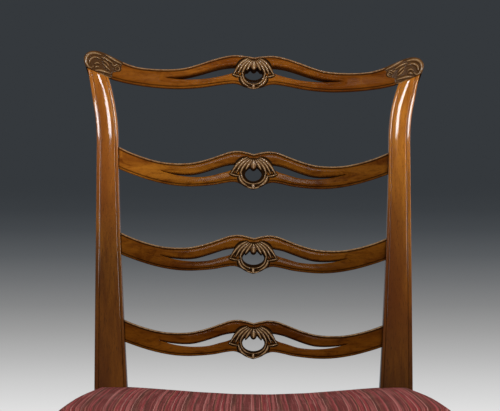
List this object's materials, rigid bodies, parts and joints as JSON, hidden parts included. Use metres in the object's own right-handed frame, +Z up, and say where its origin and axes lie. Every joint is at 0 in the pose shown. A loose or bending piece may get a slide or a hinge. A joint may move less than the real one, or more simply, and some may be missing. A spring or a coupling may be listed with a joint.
{
  "type": "ladder-back dining chair",
  "caption": "Wooden side chair with a back of pierced, carved serpentine rails between moulded flared posts, and a padded striped seat over square legs and stretchers.",
  "frame": {"origin": "on the floor, at the middle of the chair's footprint", "axes": "+Z up, the chair faces -Y, +X is to the right of someone who looks at its front"},
  "size_m": [0.5246, 0.548, 0.9625],
  "materials": {
    "mahogany": "polished",
    "beech": "matt",
    "steel": "satin",
    "jute": "coarse weave",
    "stuffing": "fibre",
    "linen": "plain weave",
    "striped_fabric": "striped weave",
    "black_cambric": "thin plain weave"
  },
  "bodies": {
    "root": {"left_rear_post": "mahogany", "right_rear_post": "mahogany", "crest_rail": "mahogany", "upper_slat": "mahogany", "middle_slat": "mahogany", "lower_slat": "mahogany", "left_front_leg": "mahogany", "right_front_leg": "mahogany", "front_seat_rail": "beech", "rear_seat_rail": "beech", "left_seat_rail": "beech", "right_seat_rail": "beech", "left_stretcher": "mahogany", "right_stretcher": "mahogany", "cross_stretcher": "mahogany", "rear_stretcher": "mahogany", "front_corner_blocks": "beech", "rear_corner_blocks": "beech", "corner_block_screws": "steel", "rail_pegs": "beech", "webbing_lengthwise": "jute", "webbing_crosswise": "jute", "webbing_tacks": "steel", "hessian_base": "jute", "stuffing_pad": "stuffing", "linen_undercover": "linen", "seat_cover": "striped_fabric", "cover_tacks": "steel", "bottom_lining": "black_cambric", "lining_tacks": "steel"}
  },
  "joints": []
}
